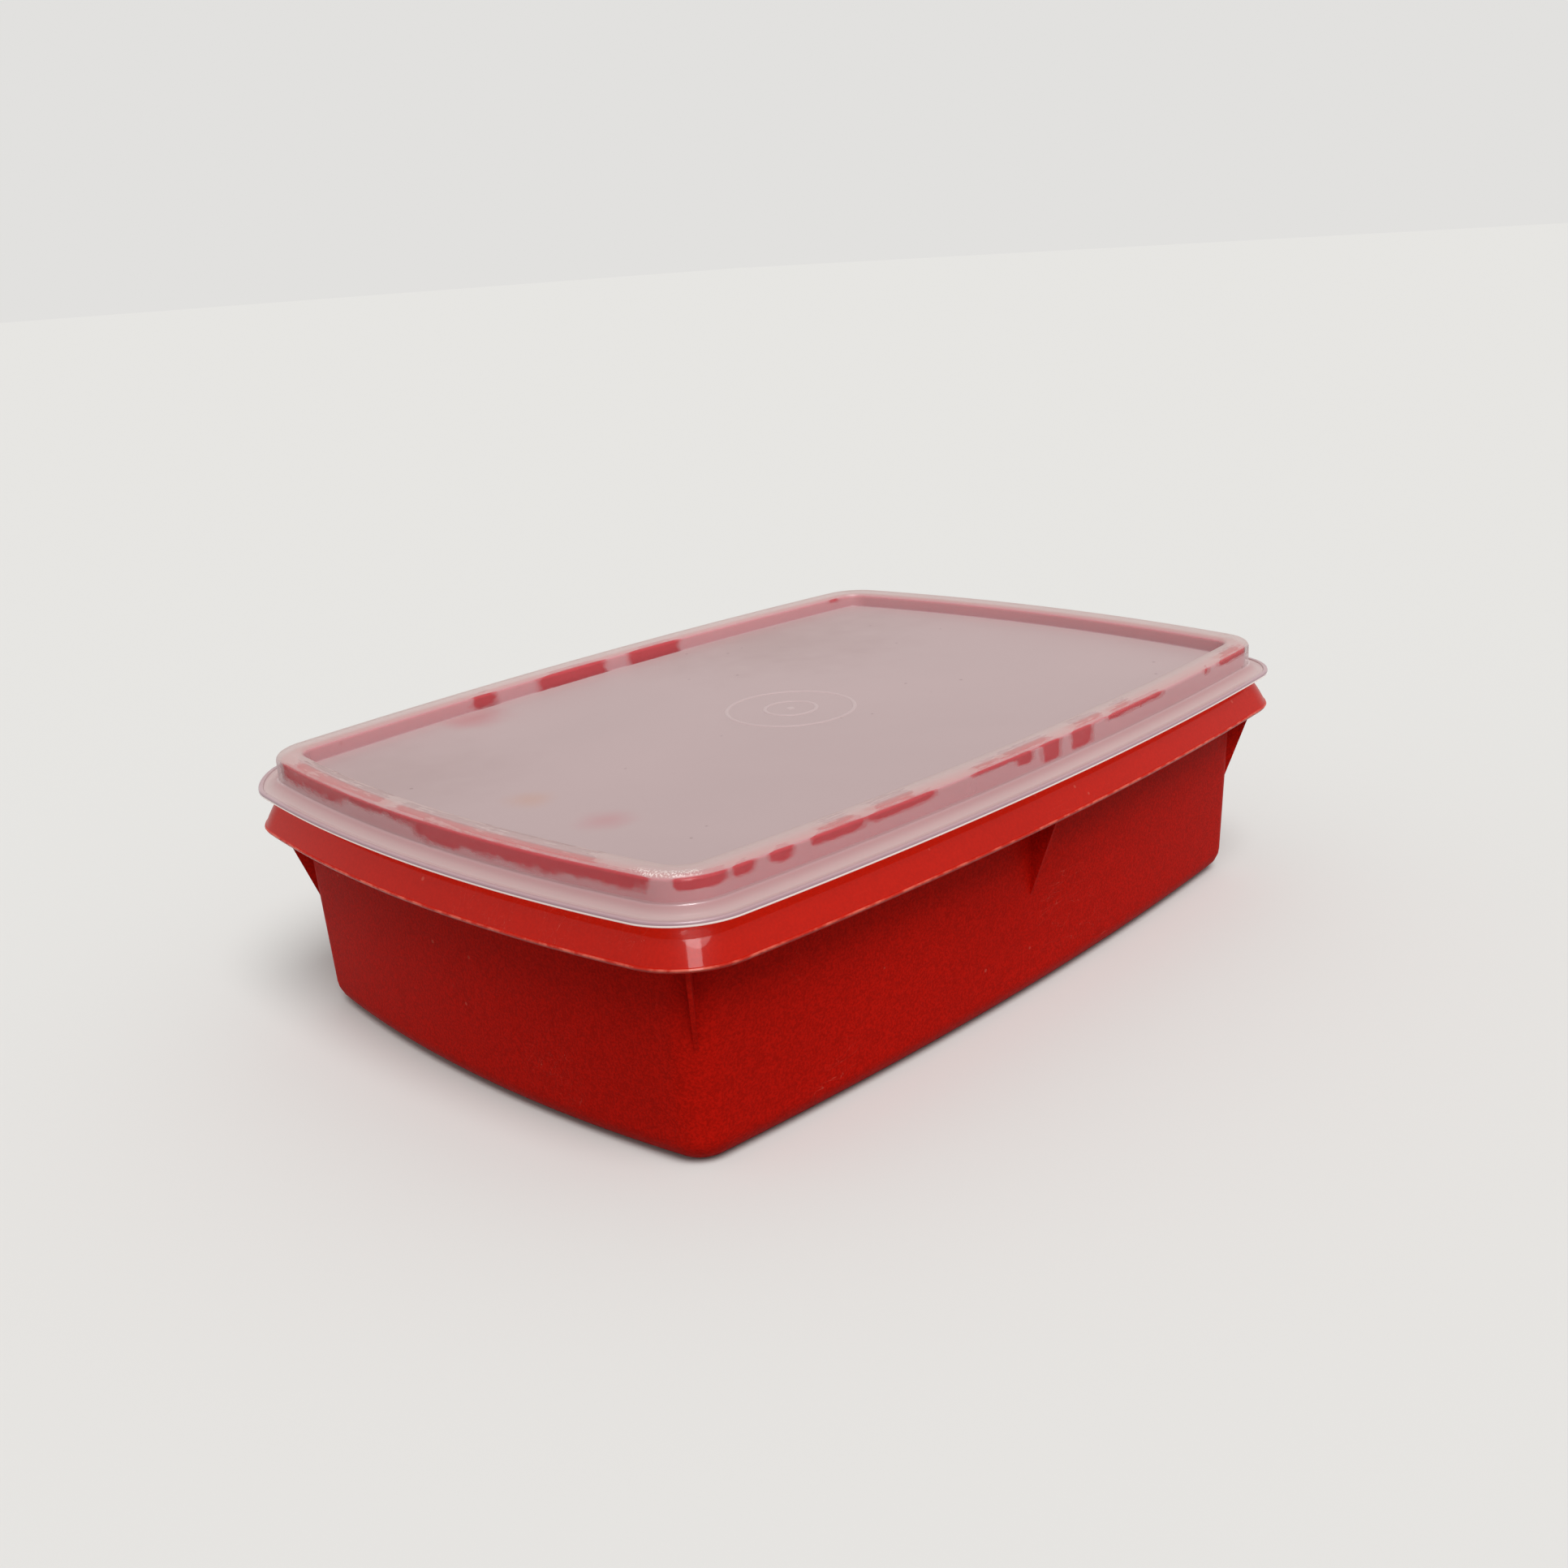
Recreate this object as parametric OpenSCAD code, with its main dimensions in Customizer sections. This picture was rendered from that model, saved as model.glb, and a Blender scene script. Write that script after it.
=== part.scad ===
// Food box with a press-on lid, in two mouldings.
// The tub is a deep tray with drafted walls. A thin skirt hangs outwards from its rim,
// and small ribs under the skirt stiffen it. The lid is one thin sheet, folded into a
// hollow ridge that presses over the rim, round a sunken panel.
// Every height is measured from the surface that the box stands on, and every inset
// is measured inwards from the edge of the skirt, square to that edge.

/* [Outline] */
// Length over the skirt, at the middle of the short sides
skirt_length = 268; // [220:1:330]
// Width over the skirt, at the middle of the long sides
skirt_width = 190; // [150:1:240]
// Corner radius of the skirt, seen from above
skirt_corner_radius = 20; // [17:0.5:36]
// Radius to which the long sides are bowed
long_side_radius = 1126; // [700:1:2400]
// Radius to which the short sides are bowed
short_side_radius = 435; // [300:1:1200]

/* [Tub walls] */
// Thickness of the wall
wall_thickness = 1.6; // [1.2:0.1:2.4]
// Thickness of the floor
floor_thickness = 1.8; // [1.2:0.1:3]
// Draft of the long sides, in degrees from upright
long_side_draft = 4.2; // [1:0.1:7]
// Draft of the short sides, in degrees from upright
short_side_draft = 2.8; // [1:0.1:7]
// Corner radius of the walls where they meet the floor
base_corner_radius = 8.4; // [7:0.1:12]
// Rounding of the outer edge between wall and floor
base_fillet = 4.2; // [2:0.1:6]
// Width of the ring that the tub stands on
foot_width = 4; // [3:0.1:10]
// How far the middle of the underside is sunk above the foot ring
foot_recess = 0.6; // [0.3:0.1:1.2]
// Radius of the gate mark in the middle of the underside
gate_radius = 3; // [1.5:0.5:8]

/* [Rim and skirt] */
// Height of the top of the rim
rim_height = 72.6; // [56:0.1:110]
// Thickness of the top and of the outer leg of the rolled rim
rim_thickness = 1.6; // [1.2:0.1:1.8]
// Width of the rolled rim, from its outer face to the inside of the wall
rim_width = 4.7; // [4.4:0.1:7]
// How much the middle of the top of the rim is arched above its edges
crown_rise = 0.6; // [0:0.1:1]
// Inset of the outer face of the rim
rim_inset = 6.9; // [5.5:0.1:9]
// How far the rim stands up above the root of the skirt
rim_stand = 10; // [7.5:0.1:14]
// How far the edge of the skirt hangs below its root
skirt_drop = 8.5; // [6:0.1:12]
// Thickness of the skirt
skirt_thickness = 1.4; // [1:0.1:1.8]
// Lean of the skirt at its edge, in degrees from upright
skirt_lean = 28; // [15:1:35]

/* [Ribs] */
// Thickness of each rib
rib_thickness = 1; // [0.8:0.1:2]
// Height at which the ribs run out into the wall
rib_foot_height = 32; // [20:0.5:45]
// Inset of the outer end of each rib
rib_edge_inset = 2.2; // [1.6:0.1:4]

/* [Lid] */
// Thickness of the folded walls of the lid
lid_thickness = 1; // [0.8:0.1:1.4]
// Thickness of the panel
panel_thickness = 1.1; // [0.8:0.1:2]
// Clearance between the lid and the rim, on each face
lid_clearance = 0.3; // [0.2:0.05:0.5]
// How deep the panel is sunk below the top of the ridge
panel_depth = 5.2; // [3:0.1:7.5]
// Gap between the root of the skirt and the flange of the lid
flange_gap = 1.5; // [0.8:0.1:2.5]
// Thickness of the flange
flange_thickness = 1; // [0.8:0.1:1.4]
// Radius of the hollow curve between the flange and the ridge
cove_radius = 2.2; // [1:0.1:3]
// Thickness of the bead round the edge of the flange
bead_thickness = 1.3; // [1:0.1:1.6]
// Radius of the outer ring on the panel
outer_ring_radius = 18.5; // [12:0.5:40]
// Radius of the inner ring on the panel
inner_ring_radius = 7.5; // [4:0.5:10]
// Width of each ring
ring_width = 1.2; // [0.8:0.1:3]
// Radius of the gate mark in the middle of the panel
lid_gate_radius = 1.2; // [0.8:0.1:3]
// Height of each ring above the panel
ring_height = 0.3; // [0.2:0.05:0.6]

/* [Hidden] */
$fn = 48;

// Straight pieces in a half short side, a corner and a half long side
SHORT_STEPS = 5;
CORNER_STEPS = 10;
LONG_STEPS = 8;
// Pieces in each small curve of a section
CURVE_STEPS = 4;
// Pieces in each half of the rounded lip of the rim
LIP_STEPS = 2;
// Radius of the edges of the ridge, as a share of the thickness of the lid
CROWN_SHARE = 1.4;
// Smallest corner radius of an outline
MIN_CORNER = 0.6;
// How deep a rib, a ring or a mark is rooted in the wall that carries it
ROOT = 0.5;

TUB_COLOUR = [0.72, 0.12, 0.08];
LID_COLOUR = [0.80, 0.72, 0.72, 0.85];

// An outline is [half length, half width, corner radius, short side radius, long side radius].
// All five values shrink by the inset, so insets of one outline are parallel to each other.
SKIRT = [skirt_length / 2, skirt_width / 2, skirt_corner_radius, short_side_radius, long_side_radius];

// Heights of the tub
skirt_root_z = rim_height - rim_stand;
skirt_edge_z = skirt_root_z - skirt_drop;
leg_foot_z = skirt_root_z - skirt_thickness;
rim_edge_z = rim_height - crown_rise;
wall_top_z = rim_edge_z - rim_thickness;
floor_z = foot_recess + floor_thickness;

// Insets of the tub
leg_inner_inset = rim_inset + rim_thickness;
rim_inner_inset = rim_inset + rim_width;
wall_top_inset = rim_inner_inset - wall_thickness;

// Outline of the outer face of the wall at its top and at its foot
WALL_TOP = inset_outline(SKIRT, wall_top_inset);
WALL_FOOT = [
    WALL_TOP[0] - wall_top_z * tan(short_side_draft),
    WALL_TOP[1] - wall_top_z * tan(long_side_draft),
    base_corner_radius,
    WALL_TOP[3],
    WALL_TOP[4]
];

// Insets and heights of the lid
ridge_outer_inset = rim_inset - lid_clearance - lid_thickness;
channel_outer_inset = rim_inset - lid_clearance;
channel_inner_inset = rim_inner_inset + lid_clearance;
ridge_inner_inset = channel_inner_inset + lid_thickness;
channel_z = rim_height + lid_clearance;
ridge_z = channel_z + lid_thickness;
panel_z = ridge_z - panel_depth;
flange_under_z = skirt_root_z + flange_gap;
flange_z = flange_under_z + flange_thickness;
bead_z = flange_under_z + bead_thickness;
// The inner leg of the ridge leans with the wall of the tub
leg_lean = (panel_depth + panel_thickness) * tan(long_side_draft);

// Only the corner radius stops shrinking, once it is as small as a mould corner gets.
function inset_outline(outline, inset) = [
    outline[0] - inset,
    outline[1] - inset,
    max(outline[2] - inset, MIN_CORNER),
    outline[3] - inset,
    outline[4] - inset
];

function mix(a, b, share) = a + (b - a) * share;

// Outline of the outer face of the wall at a height
function wall_outline(z) = mix(WALL_FOOT, WALL_TOP, z / wall_top_z);

// Centre of the corner arc, where circles inside both side arcs cross
function corner_centre(outline) =
    let (
        short_centre = outline[0] - outline[3],
        long_centre = outline[1] - outline[4],
        from_short = outline[3] - outline[2],
        from_long = outline[4] - outline[2],
        apart = norm([short_centre, long_centre]),
        along = (from_long * from_long - from_short * from_short + apart * apart) / (2 * apart),
        across = sqrt(from_long * from_long - along * along)
    )
    [
        (along * short_centre - across * long_centre) / apart,
        long_centre - (along * long_centre + across * short_centre) / apart
    ];

// Direction of the middle of the corner arc
function corner_angle(outline) =
    let (
        centre = corner_centre(outline),
        start = atan2(centre[1], centre[0] - outline[0] + outline[3]),
        end = atan2(centre[1] - outline[1] + outline[4], centre[0])
    )
    (start + end) / 2;

function arc(centre, radius, start, end, steps) = [
    for (step = [0 : steps - 1])
        let (angle = mix(start, end, step / steps))
        centre + radius * [cos(angle), sin(angle)]
];

// A quarter of the outline, from the middle of the short side to the middle of the long side
function quarter_points(outline) =
    let (
        short_centre = [outline[0] - outline[3], 0],
        long_centre = [0, outline[1] - outline[4]],
        centre = corner_centre(outline),
        start = atan2(centre[1], centre[0] - short_centre[0]),
        end = atan2(centre[1] - long_centre[1], centre[0])
    )
    concat(
        arc(short_centre, outline[3], 0, start, SHORT_STEPS),
        arc(centre, outline[2], start, end, CORNER_STEPS),
        arc(long_centre, outline[4], end, 90, LONG_STEPS),
        [[0, outline[1]]]
    );

// The whole outline, anticlockwise from above
function outline_points(outline) =
    let (
        quarter = quarter_points(outline),
        last = len(quarter) - 1
    )
    concat(
        [for (i = [0 : last - 1]) quarter[i]],
        [for (i = [last : -1 : 1]) [-quarter[i][0], quarter[i][1]]],
        [for (i = [0 : last - 1]) -quarter[i]],
        [for (i = [last : -1 : 1]) [quarter[i][0], -quarter[i][1]]]
    );

// One ring of a moulding: an outline, inset and set at a height
function ring(outline, inset, z) = [
    for (point = outline_points(inset_outline(outline, inset))) [point[0], point[1], z]
];

// Rings through the [inset, height] points of a section
function rings(outline, section) = [for (point = section) ring(outline, point[0], point[1])];

// Points of a quarter round section, from one [inset, height] corner point to another.
// The curve leaves the first point along its first leg and bulges towards the bend.
function round_section(from, bend, to, steps = CURVE_STEPS) = [
    for (step = [0 : steps])
        let (angle = 90 * step / steps)
        from + (bend - from) * sin(angle) + (to - bend) * (1 - cos(angle))
];

// The skirt follows one smooth curve from its root on the rim to its edge
skirt_bend = [skirt_drop * tan(skirt_lean), skirt_root_z];
skirt_root = [rim_inset, skirt_root_z];
skirt_edge = [0, skirt_edge_z];

function skirt_point(share) =
    mix(mix(skirt_root, skirt_bend, share), mix(skirt_bend, skirt_edge, share), share);

// Unit vector along the skirt, towards its edge
function skirt_direction(share) =
    let (along = mix(skirt_bend - skirt_root, skirt_edge - skirt_bend, share))
    along / norm(along);

// A point below the skirt's outer face, square to it
function under_skirt(share, depth) =
    let (along = skirt_direction(share))
    skirt_point(share) + depth * [-along[1], along[0]];

SKIRT_SHARES = [for (step = [1 : CURVE_STEPS]) step / CURVE_STEPS];

// Points over an arched top, between two insets
function arched(from, to, edge_z, steps = CURVE_STEPS) = [
    for (step = [1 : steps - 1])
        [mix(from, to, step / steps), edge_z + crown_rise * sin(180 * step / steps)]
];

// Section of the rolled rim and the skirt, from the wall outside to the wall inside.
// The rim is an upturned channel: its outer leg ends in the skirt, and its inner leg is the wall.
function rim_section() =
    let (
        edge_middle = under_skirt(1, skirt_thickness / 2),
        edge_round = skirt_direction(1) * skirt_thickness / 2,
        lip = rim_thickness / 2,
        outer_lip = round_section(
            [rim_inset, rim_edge_z - lip],
            [rim_inset, rim_edge_z],
            [rim_inset + lip, rim_edge_z],
            LIP_STEPS
        ),
        inner_lip = round_section(
            [rim_inner_inset - lip, rim_edge_z],
            [rim_inner_inset, rim_edge_z],
            [rim_inner_inset, rim_edge_z - lip],
            LIP_STEPS
        )
    )
    concat(
        [[leg_inner_inset, wall_top_z]],
        [[leg_inner_inset, leg_foot_z + lip]],
        [[leg_inner_inset - lip, leg_foot_z]],
        [for (i = [0 : CURVE_STEPS - 1]) under_skirt(SKIRT_SHARES[i], skirt_thickness)],
        [edge_middle + edge_round],
        [for (i = [CURVE_STEPS - 1 : -1 : 0]) skirt_point(SKIRT_SHARES[i])],
        [skirt_root],
        outer_lip,
        arched(rim_inset + lip, rim_inner_inset - lip, rim_edge_z),
        inner_lip
    );

function tub_rings() =
    let (
        foot_inset = base_fillet + foot_width,
        inner_fillet = max(base_fillet - wall_thickness, 1),
        outer_curve = round_section([base_fillet, 0], [0, 0], [0, base_fillet]),
        inner_curve = round_section(
            [wall_thickness, floor_z + inner_fillet],
            [wall_thickness, floor_z],
            [wall_thickness + inner_fillet, floor_z]
        )
    )
    concat(
        [ring(WALL_FOOT, foot_inset + foot_recess, foot_recess)],
        [ring(WALL_FOOT, foot_inset, 0)],
        [for (point = outer_curve) ring(wall_outline(point[1]), point[0], point[1])],
        [ring(WALL_TOP, 0, wall_top_z)],
        rings(SKIRT, rim_section()),
        [for (point = inner_curve) ring(wall_outline(point[1]), point[0], point[1])]
    );

function lid_section() =
    let (
        crown = CROWN_SHARE * lid_thickness,
        edge = lid_thickness / 2,
        ridge_edge_z = ridge_z - crown_rise,
        channel_edge_z = channel_z - crown_rise,
        wall_foot = [ridge_outer_inset, flange_z + cove_radius],
        cove_foot = [ridge_outer_inset - cove_radius, flange_z],
        panel_under_z = panel_z - panel_thickness,
        panel_corner = ridge_inner_inset + leg_lean
    )
    concat(
        [[panel_corner, panel_under_z]],
        [[channel_inner_inset + leg_lean, panel_under_z + edge]],
        [[channel_inner_inset, channel_edge_z - edge]],
        [[channel_inner_inset - edge, channel_edge_z]],
        arched(channel_inner_inset - edge, channel_outer_inset + edge, channel_edge_z),
        [[channel_outer_inset + edge, channel_edge_z]],
        [[channel_outer_inset, channel_edge_z - edge]],
        [[channel_outer_inset, flange_under_z + edge]],
        [[channel_outer_inset - edge, flange_under_z]],
        [[bead_thickness / 4, flange_under_z]],
        [[0, flange_under_z + bead_thickness / 4]],
        [[0, bead_z - bead_thickness / 4]],
        [[bead_thickness / 4, bead_z]],
        [[bead_thickness * 3 / 4, bead_z]],
        [[bead_thickness, flange_z]],
        round_section(cove_foot, [ridge_outer_inset, flange_z], wall_foot),
        round_section(
            [ridge_outer_inset, ridge_edge_z - crown],
            [ridge_outer_inset, ridge_edge_z],
            [ridge_outer_inset + crown, ridge_edge_z]
        ),
        arched(ridge_outer_inset + crown, ridge_inner_inset - crown, ridge_edge_z),
        round_section(
            [ridge_inner_inset - crown, ridge_edge_z],
            [ridge_inner_inset, ridge_edge_z],
            [ridge_inner_inset, ridge_edge_z - crown]
        ),
        [[panel_corner, panel_z + edge]],
        [[panel_corner + edge, panel_z]]
    );

// Closed solid through a stack of rings, with a flat face on the first and the last ring
module moulding(stack) {
    count = len(stack[0]);
    last = len(stack) - 1;
    skin = [
        for (level = [0 : last - 1], i = [0 : count - 1])
            let (next = (i + 1) % count)
            [level * count + i, (level + 1) * count + i, (level + 1) * count + next, level * count + next]
    ];
    first_face = [for (i = [0 : count - 1]) i];
    last_face = [for (i = [count - 1 : -1 : 0]) last * count + i];
    points = [for (level = stack, point = level) point];
    polyhedron(points, concat([first_face], skin, [last_face]), convexity = 8);
}

// A rib under the skirt. Its plane runs through the centre, in the given direction.
// tip is the distance from there to the edge of the skirt, and the other two are
// the distances to the wall at the foot of the rib and at the top of the wall.
module rib(centre, direction, tip, wall_at_foot, wall_at_top) {
    under = [
        for (step = [0 : CURVE_STEPS])
            let (point = under_skirt(step / CURVE_STEPS, skirt_thickness / 2))
            if (point[0] > rib_edge_inset) [tip - point[0], point[1]]
    ];
    edge = under_skirt(1, skirt_thickness / 2);
    before_edge = under_skirt(1 - 1 / CURVE_STEPS, skirt_thickness / 2);
    outer_share = (rib_edge_inset - edge[0]) / (before_edge[0] - edge[0]);
    outer_end = mix(edge, before_edge, outer_share);
    profile = concat(
        [[wall_at_foot, rib_foot_height]],
        [[tip - outer_end[0], outer_end[1]]],
        [for (i = [len(under) - 1 : -1 : 0]) under[i]],
        [[tip - rim_inset - ROOT, skirt_root_z]],
        [[wall_at_top - ROOT, skirt_root_z]],
        [[wall_at_foot - ROOT, rib_foot_height]]
    );
    translate([centre[0], centre[1], 0])
        rotate([90, 0, direction])
            linear_extrude(height = rib_thickness, center = true)
                polygon(profile);
}

module corner_ribs() {
    centre = corner_centre(SKIRT);
    angle = corner_angle(SKIRT);
    heading = [cos(angle), sin(angle)];
    foot_wall = wall_outline(rib_foot_height);
    top_wall = wall_outline(skirt_root_z);
    foot_reach = (corner_centre(foot_wall) - centre) * heading + foot_wall[2];
    top_reach = (corner_centre(top_wall) - centre) * heading + top_wall[2];
    for (side = [-1, 1], end = [-1, 1])
        rib(
            [end * centre[0], side * centre[1]],
            atan2(side * heading[1], end * heading[0]),
            SKIRT[2],
            foot_reach,
            top_reach
        );
}

module side_ribs() {
    foot_reach = wall_outline(rib_foot_height)[1];
    top_reach = wall_outline(skirt_root_z)[1];
    for (side = [-1, 1])
        rib([0, 0], side * 90, SKIRT[1], foot_reach, top_reach);
}

module bead_ring(radius, z) {
    translate([0, 0, z])
        rotate_extrude()
            polygon([
                [radius - ring_width / 2, -ROOT],
                [radius + ring_width / 2, -ROOT],
                [radius + ring_width / 2, 0],
                [radius + ring_width / 4, ring_height],
                [radius - ring_width / 4, ring_height],
                [radius - ring_width / 2, 0]
            ]);
}

module tub() {
    color(TUB_COLOUR) {
        moulding(tub_rings());
        corner_ribs();
        side_ribs();
        translate([0, 0, foot_recess / 2])
            cylinder(h = foot_recess, r = gate_radius);
    }
}

module lid() {
    color(LID_COLOUR) {
        moulding(rings(SKIRT, lid_section()));
        bead_ring(outer_ring_radius, panel_z);
        bead_ring(inner_ring_radius, panel_z);
        translate([0, 0, panel_z - ROOT])
            cylinder(h = ROOT + ring_height, r = lid_gate_radius);
    }
}

tub();
lid();
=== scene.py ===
# %% [markdown]
# # A food box in two plastics
# The box is two mouldings. A red tub of grained polyethylene stands on a foot ring, and a
# milky lid of the same plastic, only a millimetre thick, presses over its rim. Nearly all of
# its character is in two things: one section carried round a softly bowed outline, and light
# that gets through the lid and comes back red from the rim behind it.

# %% Start
import math

import bpy
import numpy as np
from mathutils import Matrix, Vector


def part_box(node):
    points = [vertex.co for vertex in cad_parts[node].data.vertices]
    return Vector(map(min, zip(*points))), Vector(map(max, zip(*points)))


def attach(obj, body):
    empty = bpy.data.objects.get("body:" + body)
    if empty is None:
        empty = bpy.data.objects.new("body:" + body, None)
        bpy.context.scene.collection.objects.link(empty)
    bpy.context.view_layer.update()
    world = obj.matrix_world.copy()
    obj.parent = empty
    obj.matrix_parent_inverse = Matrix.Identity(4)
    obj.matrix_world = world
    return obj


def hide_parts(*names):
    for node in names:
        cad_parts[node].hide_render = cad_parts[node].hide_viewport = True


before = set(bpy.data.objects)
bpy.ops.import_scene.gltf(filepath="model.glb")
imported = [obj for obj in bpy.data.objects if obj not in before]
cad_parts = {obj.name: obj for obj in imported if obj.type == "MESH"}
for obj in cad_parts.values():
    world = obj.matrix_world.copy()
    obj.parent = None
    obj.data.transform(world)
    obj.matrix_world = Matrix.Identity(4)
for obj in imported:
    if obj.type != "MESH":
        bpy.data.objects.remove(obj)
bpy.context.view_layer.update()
MM = 0.001
TUB_LOW, TUB_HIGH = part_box("tub")
LID_LOW, LID_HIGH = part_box("lid")
print("tub", [round(size / MM, 1) for size in TUB_HIGH - TUB_LOW], "mm")
print("lid", [round(size / MM, 1) for size in LID_HIGH - LID_LOW], "mm")

# %% [markdown]
# ## Small helpers
# Node trees are made in the script, so one helper adds a node, sets it and wires its inputs.
# It works alike for shader nodes and for geometry nodes, because an input that is given a
# socket is linked, and an input that is given a value keeps the value. The short names after
# it stand for the sums that come back most often: a product, a step between two numbers, a
# vector put together from its axes, and a vector scaled.


# %% Nodes and links
def put(tree, kind, inputs=None, **settings):
    node = tree.nodes.new(kind)
    for name, value in settings.items():
        setattr(node, name, value)
    for name, value in (inputs or {}).items():
        socket = node.inputs[name]
        if isinstance(value, bpy.types.NodeSocket):
            tree.links.new(value, socket)
        else:
            socket.default_value = value
    return node


def maths(tree, operation, first, second=0.0, third=0.0):
    values = {0: first, 1: second, 2: third}
    return put(tree, "ShaderNodeMath", values, operation=operation).outputs[0]


def times(tree, *factors):
    product = factors[0]
    for factor in factors[1:]:
        product = maths(tree, "MULTIPLY", product, factor)
    return product


def between(tree, share, first, second):
    return maths(tree, "MULTIPLY_ADD", share, second - first, first)


def combined(tree, **axes):
    return put(tree, "ShaderNodeCombineXYZ", axes).outputs[0]


def scaled(tree, vector, factor):
    values = {0: vector, "Scale": factor}
    return put(tree, "ShaderNodeVectorMath", values, operation="SCALE").outputs[0]


def add_input(tree, name, kind, value=None):
    socket = tree.interface.new_socket(name=name, in_out="INPUT", socket_type=kind)
    if value is not None:
        socket.default_value = value
    return socket


def add_output(tree, name, kind):
    return tree.interface.new_socket(name=name, in_out="OUTPUT", socket_type=kind)


def add_object(name, data):
    made = bpy.data.objects.new(name, data)
    bpy.context.scene.collection.objects.link(made)
    return made


# %% [markdown]
# ## The camera
# The camera comes first, because every judgement about size and finish is made through it.
# It is a phone held in one hand, a forearm above the table, and turned a few degrees. Its
# place is in millimetres from the middle of the foot, and its aim is three angles in degrees.

# %% Camera
CAMERA_PLACE = Vector((-326.3, -316.2, 194.7)) * MM
CAMERA_HEADING, CAMERA_PITCH, CAMERA_ROLL = 44.52, -18.14, 3.68
FRAME_PIXELS = 1932
FOCAL_PIXELS = 2012.8


def towards(heading, elevation):
    heading, elevation = math.radians(heading), math.radians(elevation)
    level = math.cos(elevation)
    return Vector((level * math.cos(heading), level * math.sin(heading), math.sin(elevation)))


def aim(heading, pitch, roll):
    forward, roll = towards(heading, pitch), math.radians(roll)
    right = forward.cross(Vector((0, 0, 1))).normalized()
    up = right.cross(forward)
    tilted_right = right * math.cos(roll) - up * math.sin(roll)
    tilted_up = right * math.sin(roll) + up * math.cos(roll)
    return Matrix((tilted_right, tilted_up, -forward)).transposed()


camera_data = bpy.data.cameras.new("phone")
camera_data.sensor_width = 36.0
camera_data.lens = FOCAL_PIXELS / FRAME_PIXELS * camera_data.sensor_width
camera_data.clip_start = 0.01
camera = add_object("phone", camera_data)
turned = aim(CAMERA_HEADING, CAMERA_PITCH, CAMERA_ROLL)
camera.matrix_world = Matrix.Translation(CAMERA_PLACE) @ turned.to_4x4()
bpy.context.scene.camera = camera
lens = round(camera_data.lens, 2)
print("camera", round(CAMERA_PLACE.length, 3), "m from the foot, lens", lens, "mm")

# %% [markdown]
# ## The outline
# Seen from above, every edge of the box is the same figure, set in by a little more or less:
# four sides bowed outwards to large circles, and four corner arcs that meet them without a
# kink. The figure is worked out once, at the edge of the skirt. Everything else is an inset.

# %% Outline of the skirt's edge
HALF_LENGTH = TUB_HIGH.x
HALF_WIDTH = TUB_HIGH.y
CORNER_RADIUS = 20 * MM
SHORT_SIDE_RADIUS = 435 * MM
LONG_SIDE_RADIUS = 1126 * MM
SIDE_STEP = 2.0 * MM
CORNER_STEP = 1.0 * MM


def corner_centre():
    short_centre = HALF_LENGTH - SHORT_SIDE_RADIUS
    long_centre = HALF_WIDTH - LONG_SIDE_RADIUS
    from_short = SHORT_SIDE_RADIUS - CORNER_RADIUS
    from_long = LONG_SIDE_RADIUS - CORNER_RADIUS
    apart = math.hypot(short_centre, long_centre)
    along = (from_long**2 - from_short**2 + apart**2) / (2 * apart)
    across = math.sqrt(from_long**2 - along**2)
    x = (along * short_centre - across * long_centre) / apart
    y = long_centre - (along * long_centre + across * short_centre) / apart
    return np.array([x, y])


def arc(centre, radius, start, end, step):
    count = max(2, round(radius * abs(end - start) / step))
    angles = np.linspace(start, end, count, endpoint=False)
    return centre + radius * np.column_stack([np.cos(angles), np.sin(angles)])


def skirt_outline():
    corner = corner_centre()
    short_centre = np.array([HALF_LENGTH - SHORT_SIDE_RADIUS, 0])
    long_centre = np.array([0, HALF_WIDTH - LONG_SIDE_RADIUS])
    start = math.atan2(*(corner - short_centre)[::-1])
    end = math.atan2(*(corner - long_centre)[::-1])
    quarter = np.vstack(
        [
            arc(short_centre, SHORT_SIDE_RADIUS, 0, start, SIDE_STEP),
            arc(corner, CORNER_RADIUS, start, end, CORNER_STEP),
            arc(long_centre, LONG_SIDE_RADIUS, end, math.pi / 2, SIDE_STEP),
            [[0, HALF_WIDTH]],
        ]
    )
    first, back = quarter[:-1], quarter[:0:-1]
    return np.vstack([first, back * [-1, 1], -first, back * [1, -1]])


OUTLINE = skirt_outline()
perimeter = np.linalg.norm(np.roll(OUTLINE, -1, axis=0) - OUTLINE, axis=1).sum()
print("outline", len(OUTLINE), "points,", round(perimeter / MM), "mm round")

# %% [markdown]
# ## Sections
# A section is what a saw cut through the wall would show. It is written as a list of
# corners, each with its own rounding, in two measures: the inset from the skirt's edge and
# the height above the table. A helper turns the sharp corners into small arcs.


# %% Rounded sections
def rounded(corners, steps=5):
    points = []
    for index, (inset, height, radius) in enumerate(corners):
        here = np.array([inset, height], float)
        if radius == 0 or index in (0, len(corners) - 1):
            points.append(here)
            continue
        before = np.array(corners[index - 1][:2], float) - here
        after = np.array(corners[index + 1][:2], float) - here
        to_before = before / np.linalg.norm(before)
        to_after = after / np.linalg.norm(after)
        half_angle = math.acos(np.clip(to_before @ to_after, -1, 1)) / 2
        setback = radius / math.tan(half_angle)
        middle = to_before + to_after
        centre = here + middle / np.linalg.norm(middle) * radius / math.sin(half_angle)
        start, end = here + to_before * setback, here + to_after * setback
        for share in np.linspace(0, 1, steps + 1):
            chord = start + (end - start) * share - centre
            points.append(centre + chord / np.linalg.norm(chord) * radius)
    return np.array(points)


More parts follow.
